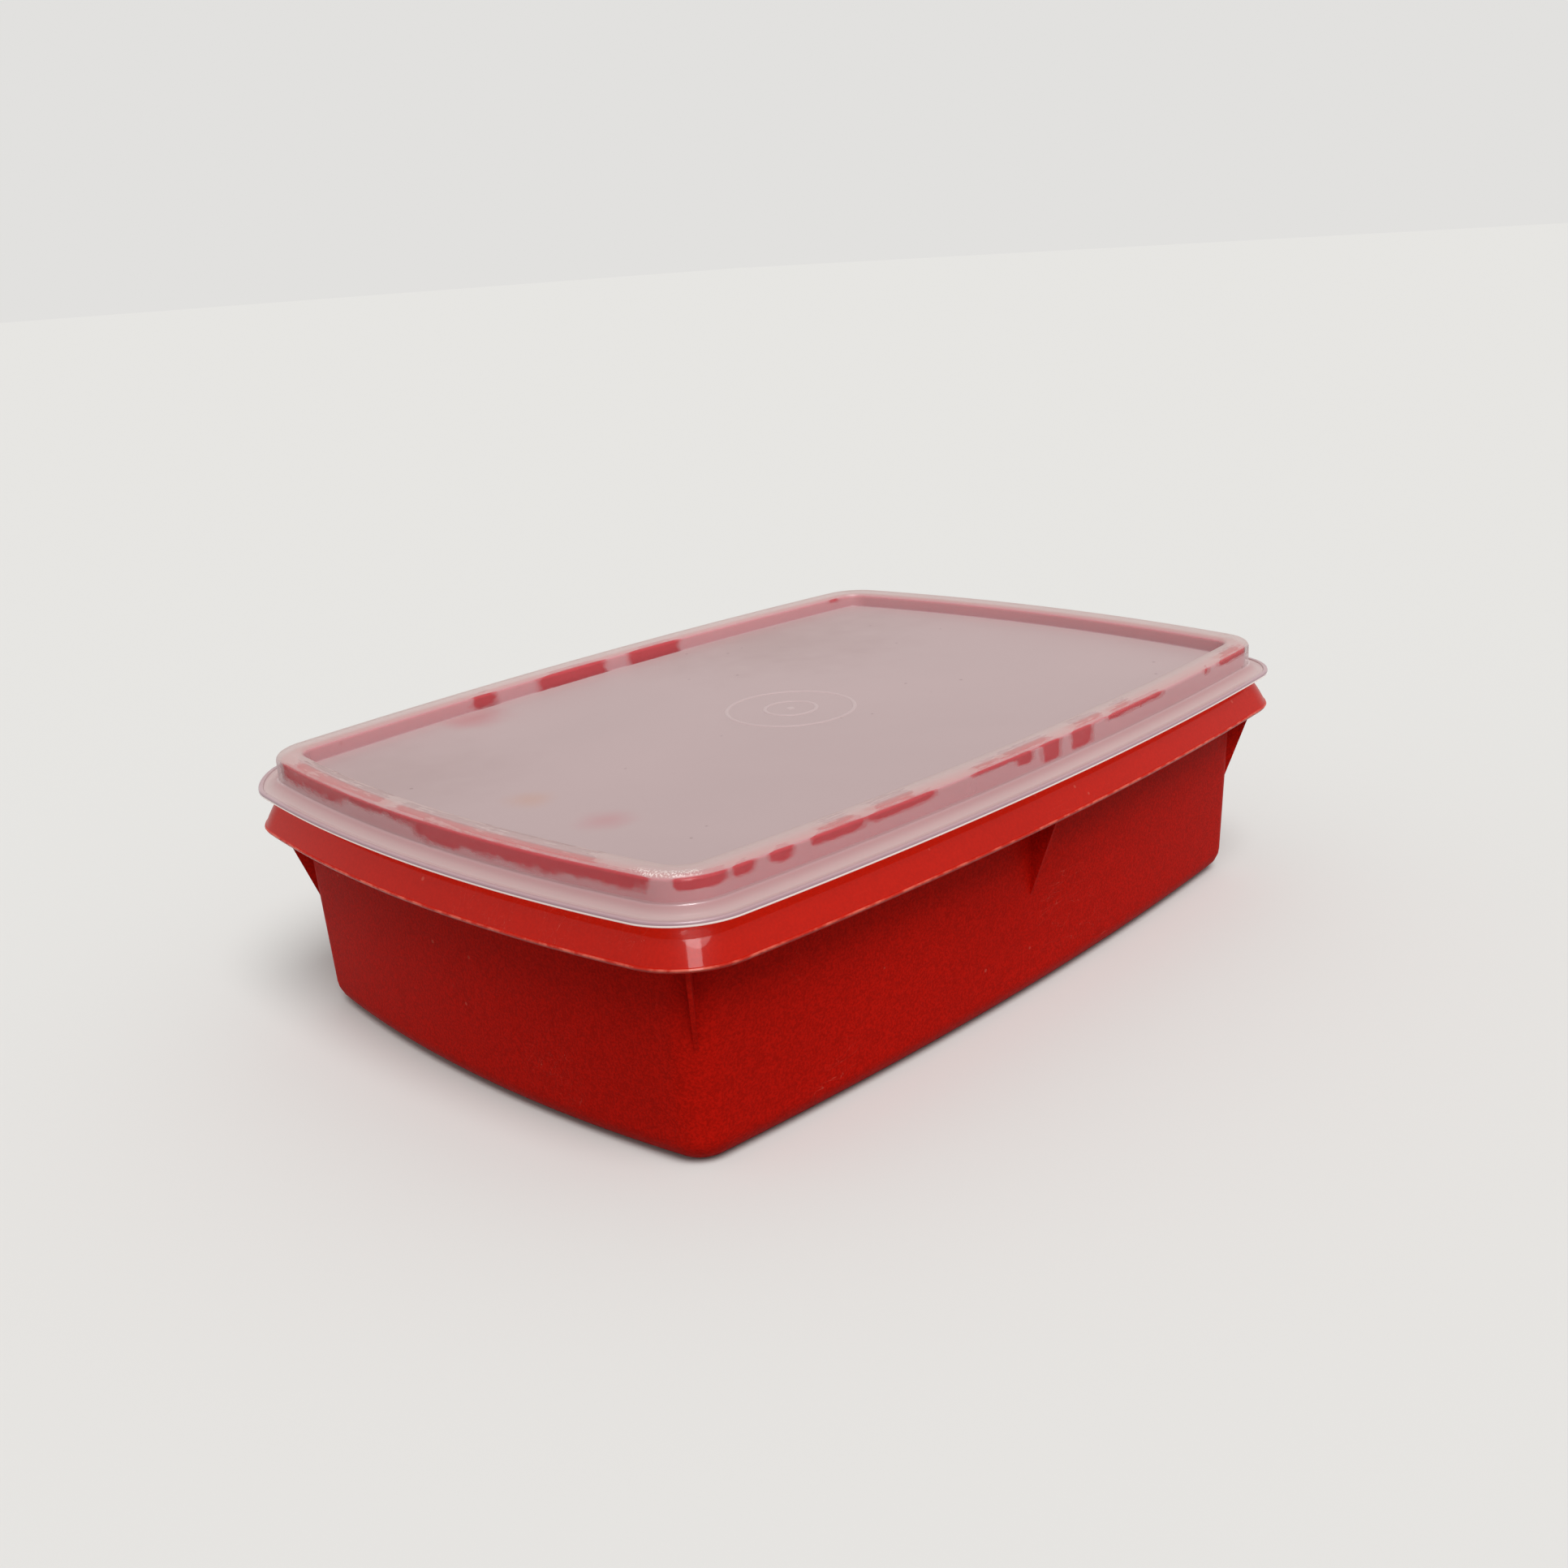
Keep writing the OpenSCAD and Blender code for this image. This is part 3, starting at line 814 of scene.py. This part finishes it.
# %% Colours over the lid
def lid_colour(tree, place, height, inset, panel, on_top, flange):
    bead = band(tree, inset, 0.3, 2.0, 0.6, 0.0)
    on_edge = band(tree, inset, 0.1, 0.35, 1.0, 0.0)
    lower_half = band(tree, height, FLANGE_UNDER_Z + 0.5, FLANGE_UNDER_Z + 0.65, 1.0, 0.0)
    lit_edge = times(tree, on_edge, lower_half)
    # Towards the foot of the ridge the flange is painted darker and pinker. This is painted shade
    # in the crease, with a painted red glow from the rim.
    to_root = band(tree, inset, 2.0, RIDGE_OUT + 0.2)
    flange_milk_and_shade = blend_colour(tree, to_root, FLANGE_MILK, FLANGE_ROOT_PAINTED_SHADE)
    # The ridge's milk is lighter and pinker than the rest of the sheet. It is a painted red glow
    # from the rim behind it.
    colour = blend_colour(tree, panel, RIDGE_MILK_PAINTED_GLOW, PANEL_MILK)
    colour = blend_colour(tree, on_top, colour, CROWN_MILK)
    colour = blend_colour(tree, flange, colour, flange_milk_and_shade)
    # The edge bead and the upper part of its outer face are painted purple-grey, as painted shade.
    colour = blend_colour(tree, maths(tree, "MAXIMUM", on_edge, bead), colour, EDGE_PAINTED_SHADE)
    # The lower half of the edge face is a painted highlight: a near-white line.
    colour = blend_colour(tree, lit_edge, colour, EDGE_PAINTED_HIGHLIGHT)
    # Smudges and painted shade are laid on the panel alike, each with a ragged border.
    for x, y, reach, strength, tint in SMUDGES_AND_SHADE:
        spot = {0: place, 1: (x * MM, y * MM, PANEL_Z * MM)}
        away = put(tree, "ShaderNodeVectorMath", spot, operation="DISTANCE").outputs["Value"]
        away = maths(tree, "DIVIDE", away, reach * MM)
        ragged = maths(tree, "MULTIPLY_ADD", noise(tree, place, 90.0), 0.9, away)
        smudge_and_shade = times(tree, ramp(tree, ragged, 0.35, 1.6, strength, 0.0), panel)
        colour = blend_colour(tree, smudge_and_shade, colour, tint)
    return colour, lit_edge


# %% Touches, scuffs and painted glints
def touching_rim(tree, place, height, inset, along, on_top):
    level = {"X": times(tree, along, 0.25), "Y": times(tree, inset, 1.6)}
    ribbon = combined(tree, **level, Z=height)
    wobble = times(tree, noise(tree, place, 330.0, 3.0, 0.55), 0.35)
    drips = between(tree, on_top, 0.35, 1.35)
    wobble = maths(tree, "MULTIPLY_ADD", noise(tree, ribbon, 520.0, 2.0), drips, wobble)
    wobble = maths(tree, "MULTIPLY_ADD", on_top, -0.85, wobble)
    return ramp(tree, maths(tree, "ADD", wobble, attribute(tree, "contact")), 0.72, 0.94)


# White speckle on the crown at one corner. It is partly scuffs from handling and partly painted
# glints of highlight.
def scuffs_and_glints_at_corner(tree, place, inset, along, on_top):
    start, end = SCUFFED_AND_GLINTING_CORNER
    at_corner = times(
        tree,
        band(tree, along, start, start + 5),
        band(tree, along, end - 5, end, 1.0, 0.0),
        band(tree, inset, RIDGE_OUT + 3.0, RIDGE_OUT + 1.0),
        on_top,
    )
    return times(tree, ramp(tree, noise(tree, place, 2600.0, 2.0), 0.5, 0.62), at_corner)


# %% Lid finish
def lid_finish():
    material, tree, shader = new_material("milky_polyethylene", 0.35)
    place = object_place(tree)
    height = put(tree, "ShaderNodeSeparateXYZ", {0: place}).outputs["Z"]
    inset, along = attribute(tree, "inset"), attribute(tree, "along")
    grain = grouped(tree, GRAIN, Place=place, Grains_per_Metre=600.0)["Height"]
    drift = grouped(tree, DRIFT, Place=place, **LID_CLOUDS)["Factor"]
    marks = grouped(tree, MARKS, Place=place, Scratches_per_Metre=45.0, Amount=0.35)
    panel = band(tree, inset, PANEL_FROM, PANEL_FROM + 0.6)
    on_top = band(tree, height, CROWN_EDGE_Z - 0.7, CROWN_EDGE_Z - 0.1)
    outside = band(tree, inset, RIDGE_OUT + 1.0, RIDGE_OUT + 1.2, 1.0, 0.0)
    low = band(tree, height, CREASE_Z - 0.3, CREASE_Z + 0.3, 1.0, 0.0)
    flange = times(tree, outside, low)

    colour, lit_edge = lid_colour(tree, place, height, inset, panel, on_top, flange)
    colour = blend_colour(tree, marks["Nicks"], colour, DIRT)
    scuffs_and_glints = scuffs_and_glints_at_corner(tree, place, inset, along, on_top)
    # The white speckle: partly scuffs, partly a painted highlight.
    colour = blend_colour(tree, scuffs_and_glints, colour, SCUFF_AND_GLINT_WHITE)
    tree.links.new(scaled(tree, colour, drift), shader.inputs["Base Color"])
    # That line also gives off a little light by emission. This is a painted glow, as of light
    # coming out of the sheet's edge.
    tree.links.new(scaled(tree, EDGE_PAINTED_GLOW[:3], lit_edge), shader.inputs["Emission Color"])
    shader.inputs["Emission Strength"].default_value = 1.0

    cover = between(tree, panel, RIDGE_COVER, PANEL_COVER)
    cover = maths(tree, "MULTIPLY_ADD", flange, FLANGE_EXTRA, cover)
    cover = maths(tree, "MULTIPLY_ADD", on_top, CROWN_EXTRA, cover)
    slant = put(tree, "ShaderNodeLayerWeight", {"Blend": 0.5}).outputs["Facing"]
    slant = times(tree, maths(tree, "POWER", slant, 3.0), SLANT_REACH)
    cover = maths(tree, "MULTIPLY_ADD", maths(tree, "SUBTRACT", 1.0, cover), slant, cover)
    touching = touching_rim(tree, place, height, inset, along, on_top)
    thinner = times(tree, touching, between(tree, on_top, WALL_TOUCH_THINS, CROWN_TOUCH_THINS))
    cover = times(tree, cover, maths(tree, "SUBTRACT", 1.0, thinner))
    rays = tree.nodes.new("ShaderNodeLightPath").outputs
    lighting = maths(tree, "MAXIMUM", rays["Is Shadow Ray"], rays["Is Diffuse Ray"])
    lighting = times(tree, lighting, maths(tree, "SUBTRACT", 1.0, panel))
    cover = times(tree, cover, between(tree, lighting, 1.0, LIT_COVER))
    tree.links.new(cover, shader.inputs["Alpha"])

    crease = band(tree, height, CREASE_Z - 0.5, CREASE_Z - 0.1)
    crease_end = band(tree, height, CREASE_Z + 0.2, CREASE_Z + 0.7, 1.0, 0.0)
    coat = times(tree, crease, crease_end, outside, CREASE_COAT)
    tree.links.new(coat, shader.inputs["Coat Weight"])
    shader.inputs["Coat Roughness"].default_value = 0.08
    roughness = maths(tree, "MULTIPLY_ADD", marks["Scratches"], 0.3, SHEET_ROUGHNESS)
    roughness = maths(tree, "MULTIPLY_ADD", panel, PANEL_ROUGHER, roughness)
    tree.links.new(roughness, shader.inputs["Roughness"])
    press_grain(tree, shader, grain, 0.05, 0.35)
    return material


LID_FINISH = lid_finish()


def ring_finish():
    material, tree, shader = new_material("raised_polyethylene", 0.35, 0.34)
    drift = grouped(tree, DRIFT, Place=object_place(tree), **LID_CLOUDS)["Factor"]
    colour = scaled(tree, PANEL_MILK[:3], times(tree, drift, 0.95))
    tree.links.new(colour, shader.inputs["Base Color"])
    return material


RING_FINISH = ring_finish()

# %% [markdown]
# ## The two mouldings
# With the tree and the finishes ready, each moulding is one call. They differ in section,
# finish and draft, and the lid has no draft on its outline.


# %% Moulding
def mould(name, section, finish, draft=None):
    profile = section_curve(name + "_section", section)
    ends = dict(zip(SWEEP_ENDS, [measure * MM for measure in (*section[0], *section[-1])]))
    values = {"Section": profile, "Material": finish, **ends, **(draft or {})}
    made = grow(name, outline_curve(name + "_outline"), SWEEP, values)
    bpy.data.objects.remove(profile)
    return made


# %% Tub and lid
TUB_DRAFT = {
    "Draft Top": WALL_TOP_Z * MM,
    "Draft Inset": (WALL_INSET - 0.1) * MM,
    "Draft Along": -SHORT_SIDE_DRAFT / (HALF_LENGTH - WALL_INSET * MM),
    "Draft Across": -LONG_SIDE_DRAFT / (HALF_WIDTH - WALL_INSET * MM),
}
tub_shell = mould("tub_shell", TUB_SECTION, TUB_FINISH, TUB_DRAFT)
lid_sheet = mould("lid_sheet", LID_SECTION, LID_FINISH)

# %% [markdown]
# ### Where the lid touches the rim
# The lid hangs a hair off the rim nearly everywhere, and clings to it in patches that start
# under the crown and run down like drips. Each is given as the stretch of the outline that it
# covers, and the height that it runs down to. They become one attribute on the mesh, which is
# a half at the border of a patch, and the finish ruffles that border with noise. A patch only
# thins the sheet and adds no colour of its own, so a lid that is lifted off has none.

# %% Contact patches
OUTER_TOUCHES = [
    (346, 385, 69.0),
    (384, 420, 71.0),
    (417, 437, 68.2),
    (434, 470, 69.0),
    (466, 496, 69.6),
    (503, 520, 69.9),
    (521, 528, 69.9),
    (532, 539, 69.7),
    (544, 561, 70.3),
    (562, 585, 70.6),
    (598, 622, 71.7),
    (616, 623, 69.5),
    (627, 635, 67.6),
    (640, 650, 67.6),
    (657, 687, 71.2),
    (712, 715, 70.8),
    (721, 746, 71.0),
]
CROWN_TOUCHES = [
    (353, 402, 11.0),
    (408, 440, 10.2),
    (434, 478, 11.2),
    (549, 559, 9.4),
    (565, 579, 10.0),
    (600, 610, 7.6),
    (612, 631, 8.6),
    (643, 656, 9.6),
    (662, 671, 8.8),
    (725, 740, 8.5),
]
INNER_TOUCHES = [(101, 104, 71.5), (177, 199, 67.8), (209, 237, 68.2), (254, 263, 68.7)]
PATCH_EDGE = 6.0
FAR_PATCH_EDGE = 14.0
CROWN_SPREAD = 1.6
OUTER_SKINS_TO = RIDGE_OUT + 1.6
CROWN_FROM_Z = CROWN_EDGE_Z - 0.9
INNER_WALL = (RIDGE_IN - 1.4, RIDGE_IN + LEG_LEAN + 0.3)
BLEND = 1.2
CRISP_FOOT = 2.5
BLURRED_FOOT = 0.75
BLURRED_UP_TO = 500


def patch_field(along, height, touches, foot_gain=CRISP_FOOT, edge=PATCH_EDGE):
    field = np.zeros(len(along))
    for start, end, low in touches:
        sides, foot = np.minimum(along - start, end - along), foot_gain * (height - low)
        inside = -BLEND * np.logaddexp(-sides / BLEND, -foot / BLEND)
        field = np.maximum(field, np.clip(0.5 + inside / edge, 0, 1))
    return field


def read_points(mesh):
    count = len(mesh.vertices)
    places, along, inset = np.zeros(count * 3), np.zeros(count), np.zeros(count)
    mesh.vertices.foreach_get("co", places)
    mesh.attributes["along"].data.foreach_get("value", along)
    mesh.attributes["inset"].data.foreach_get("value", inset)
    return places.reshape(-1, 3), along / MM, inset / MM


def store_contact(mesh):
    places, along, inset = read_points(mesh)
    height = places[:, 2] / MM
    outside = np.clip((OUTER_SKINS_TO - inset) / 0.5, 0, 1)
    foot_gain = np.where(along < BLURRED_UP_TO, BLURRED_FOOT, CRISP_FOOT)
    outer = patch_field(along, height, OUTER_TOUCHES, foot_gain) * outside
    grow_by = np.array([-CROWN_SPREAD, CROWN_SPREAD, -CROWN_SPREAD])
    spread = [np.array([start, end, -reach]) + grow_by for start, end, reach in CROWN_TOUCHES]
    on_top = np.clip((height - CROWN_FROM_Z) / 0.4, 0, 1)
    crown = patch_field(along, -inset, spread) * on_top
    on_inner_wall = (inset > INNER_WALL[0]) & (inset < INNER_WALL[1])
    inner = patch_field(along, height, INNER_TOUCHES, edge=FAR_PATCH_EDGE) * on_inner_wall
    contact = np.maximum(np.maximum(outer, crown), inner)
    mesh.attributes.new("contact", "FLOAT", "POINT").data.foreach_set("value", contact)
    print("in contact:", round(100 * float((contact > 0.5).mean()), 1), "% of the points")


store_contact(lid_sheet.data)

# %% [markdown]
# ### A sprung corner
# A thin flange never lies quite flat again after years of being peeled off by hand. At one
# corner its edge stands nearly 2 mm up. The lift grows from nothing at the ridge to its full
# height at the edge, by a smooth step each way, so that no crease shows.

# %% A sprung corner
SPRUNG_FROM, SPRUNG_TO = 296, 342
SPRUNG_EASES = (14, 20)
SPRUNG_RISE = 1.9


def smooth_step(value, low, high):
    share = np.clip((value - low) / (high - low), 0, 1)
    return share * share * (3 - 2 * share)


def spring_corner(mesh):
    places, along, inset = read_points(mesh)
    rising = smooth_step(along, SPRUNG_FROM, SPRUNG_FROM + SPRUNG_EASES[0])
    falling = smooth_step(along, SPRUNG_TO, SPRUNG_TO - SPRUNG_EASES[1])
    free = smooth_step(inset, RIDGE_OUT - 0.4, 1.5)
    lift = SPRUNG_RISE * rising * falling * free
    places[:, 2] += lift * MM
    mesh.vertices.foreach_set("co", places.ravel())
    print("flange sprung up by", round(float(lift.max()), 2), "mm")


spring_corner(lid_sheet.data)

# %% [markdown]
# ## Ribs under the skirt
# Six thin webs brace the skirt: one at each corner and one halfway along each long side. They
# are one shape used six times, so a single profile is given a thickness and instanced on six
# points, each of which carries the heading that its rib faces.

# %% Rib profile
RIB_THICKNESS = 1.0
RIB_FOOT_Z = 30.0
RIB_EDGE_INSET = 1.0
RIB_ROOT = 0.8
CORNER_RIB_HEADING = math.radians(45)


def wall_inset(height):
    return WALL_INSET + (WALL_TOP_Z - height) * LONG_SIDE_DRAFT


def rib_profile():
    under = skirt_offset(np.linspace(0, 1, 9), SKIRT_THICKNESS * 0.5)
    under = [tuple(point) for point in under[::-1] if point[0] > RIB_EDGE_INSET]
    root, foot = wall_inset(SKIRT_ROOT_Z), wall_inset(RIB_FOOT_Z)
    buried = [(RIM_INSET + RIB_ROOT, SKIRT_ROOT_Z), (root + RIB_ROOT, SKIRT_ROOT_Z)]
    buried += [(foot + RIB_ROOT, RIB_FOOT_Z), (foot, RIB_FOOT_Z)]
    return (under + buried)[::-1]


print("rib profile", len(rib_profile()), "points")


# %% The rib tree
def rib_tree():
    tree, given = geometry_group("stiffening_ribs", "Places", ("Profile",), ("Thickness",))
    half = times(tree, given["Thickness"], 0.5)
    ends = {"Start": combined(tree, Y=times(tree, half, -1.0)), "End": combined(tree, Y=half)}
    line = put(tree, "GeometryNodeCurvePrimitiveLine", ends).outputs[0]
    upright = put(tree, "GeometryNodeSetCurveNormal", {"Curve": line}, mode="Z_UP").outputs[0]
    profile = put(tree, "GeometryNodeObjectInfo", {"Object": given["Profile"]})
    sweep = {"Curve": upright, "Profile Curve": profile.outputs["Geometry"], "Fill Caps": True}
    web = put(tree, "GeometryNodeCurveToMesh", sweep).outputs[0]
    turn = combined(tree, Z=stored_float(tree, "heading"))
    stand = {"Points": given["Places"], "Instance": web, "Rotation": turn}
    ribs = put(tree, "GeometryNodeInstanceOnPoints", stand).outputs[0]
    hand_out(tree, given, ribs)
    return tree


# %% Ribs in place
def rib_places():
    facing = np.array([math.cos(CORNER_RIB_HEADING), math.sin(CORNER_RIB_HEADING)])
    tip = corner_centre() + CORNER_RADIUS * facing
    places = [((0, side * HALF_WIDTH, 0), side * math.pi / 2) for side in (-1, 1)]
    for side_x in (-1, 1):
        for side_y in (-1, 1):
            heading = math.atan2(side_y * facing[1], side_x * facing[0])
            places.append(((side_x * tip[0], side_y * tip[1], 0), heading))
    mesh = bpy.data.meshes.new("rib_places")
    mesh.from_pydata([place for place, _ in places], [], [])
    values = mesh.attributes.new("heading", "FLOAT", "POINT")
    values.data.foreach_set("value", [heading for _, heading in places])
    return add_object("rib_places", mesh)


profile_curve = section_curve("rib_profile", rib_profile(), True)
rib_values = {"Profile": profile_curve, "Thickness": RIB_THICKNESS * MM, "Material": TUB_FINISH}
skirt_ribs = grow("skirt_ribs", rib_places(), rib_tree(), rib_values, sharp_angle=30)
bpy.data.objects.remove(profile_curve)

# %% [markdown]
# ## Rings on the panel
# Two low rings stand round the middle of the panel, with the small scar of the gate where
# the plastic came in. A circle swept by a small flat oval makes a ring. The tree has an
# input for each size, so the rings can be changed without touching a node.


# %% The ring tree
RING_SIZES = {
    "Outer Radius": 18.5,
    "Inner Radius": 7.5,
    "Width": 1.2,
    "Height": 0.16,
    "Gate Radius": 1.2,
    "Panel Height": PANEL_Z,
}


def ring_tree():
    tree, given = geometry_group("panel_rings", "Start", (), RING_SIZES)
    joined = tree.nodes.new("GeometryNodeJoinGeometry")
    circle_kind, move_kind = "GeometryNodeCurvePrimitiveCircle", "GeometryNodeTransform"
    for name in ("Outer Radius", "Inner Radius"):
        path = put(tree, circle_kind, {"Resolution": 128, "Radius": given[name]}).outputs[0]
        round_bar = put(tree, circle_kind, {"Resolution": 12, "Radius": 1.0}).outputs[0]
        size = combined(tree, X=times(tree, given["Width"], 0.5), Y=given["Height"], Z=1.0)
        bar = put(tree, move_kind, {"Geometry": round_bar, "Scale": size}).outputs[0]
        ring = put(tree, "GeometryNodeCurveToMesh", {"Curve": path, "Profile Curve": bar})
        tree.links.new(ring.outputs[0], joined.inputs[0])
    ball = {"Segments": 32, "Rings": 16, "Radius": given["Gate Radius"]}
    dome = put(tree, "GeometryNodeMeshUVSphere", ball).outputs[0]
    flat = maths(tree, "DIVIDE", given["Height"], given["Gate Radius"])
    squash = combined(tree, X=1.0, Y=1.0, Z=flat)
    gate = put(tree, move_kind, {"Geometry": dome, "Scale": squash}).outputs[0]
    tree.links.new(gate, joined.inputs[0])
    rise = combined(tree, Z=given["Panel Height"])
    raised = put(tree, move_kind, {"Geometry": joined.outputs[0], "Translation": rise})
    hand_out(tree, given, raised.outputs[0])
    return tree


# %% Rings in place
ring_values = {name: size * MM for name, size in RING_SIZES.items()}
ring_values["Material"] = RING_FINISH
ring_start = add_object("ring_start", bpy.data.meshes.new("ring_start"))
panel_rings = grow("panel_rings", ring_start, ring_tree(), ring_values)

# %% [markdown]
# ## The floor and the light
# A plain pale floor and an even pale sky, with one sun as soft as daylight through a window.
# Two panes are seen only in reflections. They draw the long highlight on the skirt's corner
# and add nothing to the level of the light, so the colours stay as they are written.


# %% Floor
FLOOR_SHADE = (0.70, 0.695, 0.68, 1.0)
BOUNCE_SHADE = (0.30, 0.28, 0.26, 1.0)
SKY_SHADE = (1.0, 0.99, 0.97, 1.0)
SKY_LIGHT, SKY_SEEN = 0.50, 0.76
FLOOR_REACH = 14.0


def seen_directly(tree):
    rays = tree.nodes.new("ShaderNodeLightPath").outputs
    mirrored = maths(tree, "MAXIMUM", rays["Is Glossy Ray"], rays["Is Transmission Ray"])
    return maths(tree, "MAXIMUM", rays["Is Camera Ray"], mirrored)


def plain_floor():
    mesh = bpy.data.meshes.new("floor")
    corners = [(-1, -1), (1, -1), (1, 1), (-1, 1)]
    corners = [(x * FLOOR_REACH, y * FLOOR_REACH, 0) for x, y in corners]
    mesh.from_pydata(corners, [], [(0, 1, 2, 3)])
    floor = add_object("floor", mesh)
    material, tree, shader = new_material("pale_floor", 0.0, 0.9)
    colour = blend_colour(tree, seen_directly(tree), BOUNCE_SHADE, FLOOR_SHADE)
    tree.links.new(colour, shader.inputs["Base Color"])
    mesh.materials.append(material)


def add_lamp(name, kind, direction, distance, power):
    data = bpy.data.lights.new(name, kind)
    data.energy = power
    lamp = add_object(name, data)
    lamp.location = direction * distance
    lamp.rotation_euler = direction.to_track_quat("Z", "Y").to_euler()
    return lamp


def add_pane(name, direction, power, width, height):
    pane = add_lamp(name, "AREA", direction, 1.5, power)
    pane.data.shape = "RECTANGLE"
    pane.data.size, pane.data.size_y = width, height
    pane.visible_diffuse = False


plain_floor()
add_pane("window", towards(232, 50), power=28.0, width=0.42, height=1.7)
add_pane("side_pane", towards(216, 62), power=5.0, width=0.12, height=0.26)
daylight = add_lamp("daylight", "SUN", towards(243, 57), distance=2.0, power=2.4)
daylight.data.angle = math.radians(35)

world = bpy.data.worlds.new("sky")
world.use_nodes = True
sky = world.node_tree
background = sky.nodes["Background"]
background.inputs["Color"].default_value = SKY_SHADE
strength = between(sky, seen_directly(sky), SKY_LIGHT, SKY_SEEN)
sky.links.new(strength, background.inputs["Strength"])
bpy.context.scene.world = world
bpy.context.scene.view_settings.view_transform = "Standard"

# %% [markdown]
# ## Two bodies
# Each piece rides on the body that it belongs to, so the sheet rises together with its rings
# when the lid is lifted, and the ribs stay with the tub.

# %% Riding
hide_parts("tub")
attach(tub_shell, "tub")
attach(skirt_ribs, "tub")
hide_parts("lid")
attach(lid_sheet, "lid")
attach(panel_rings, "lid")
